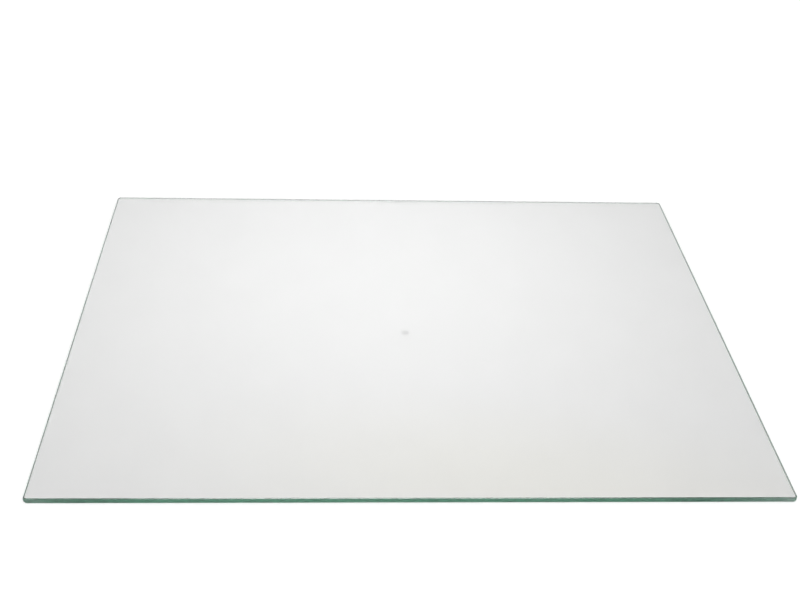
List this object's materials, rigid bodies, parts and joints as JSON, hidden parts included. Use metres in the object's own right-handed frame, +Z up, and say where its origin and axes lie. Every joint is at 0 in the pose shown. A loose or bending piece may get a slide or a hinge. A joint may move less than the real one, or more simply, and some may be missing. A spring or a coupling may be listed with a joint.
{
  "type": "oven door middle glass pane",
  "caption": "Flat rectangular pane of clear toughened float glass with dubbed corners and seamed edges, the middle pane of an oven door.",
  "frame": {"origin": "centre of the pane's underside, the face that it lies on", "axes": "+X along the long edges, +Y from the front long edge to the back long edge, +Z up through the thickness of the glass"},
  "size_m": [0.5, 0.43, 0.004],
  "materials": {
    "clear_float_glass": "clear polished faces with a faint green cast, satin ground edges that look dark green"
  },
  "bodies": {
    "root": {"middle_glass_pane": "clear_float_glass"}
  },
  "joints": []
}
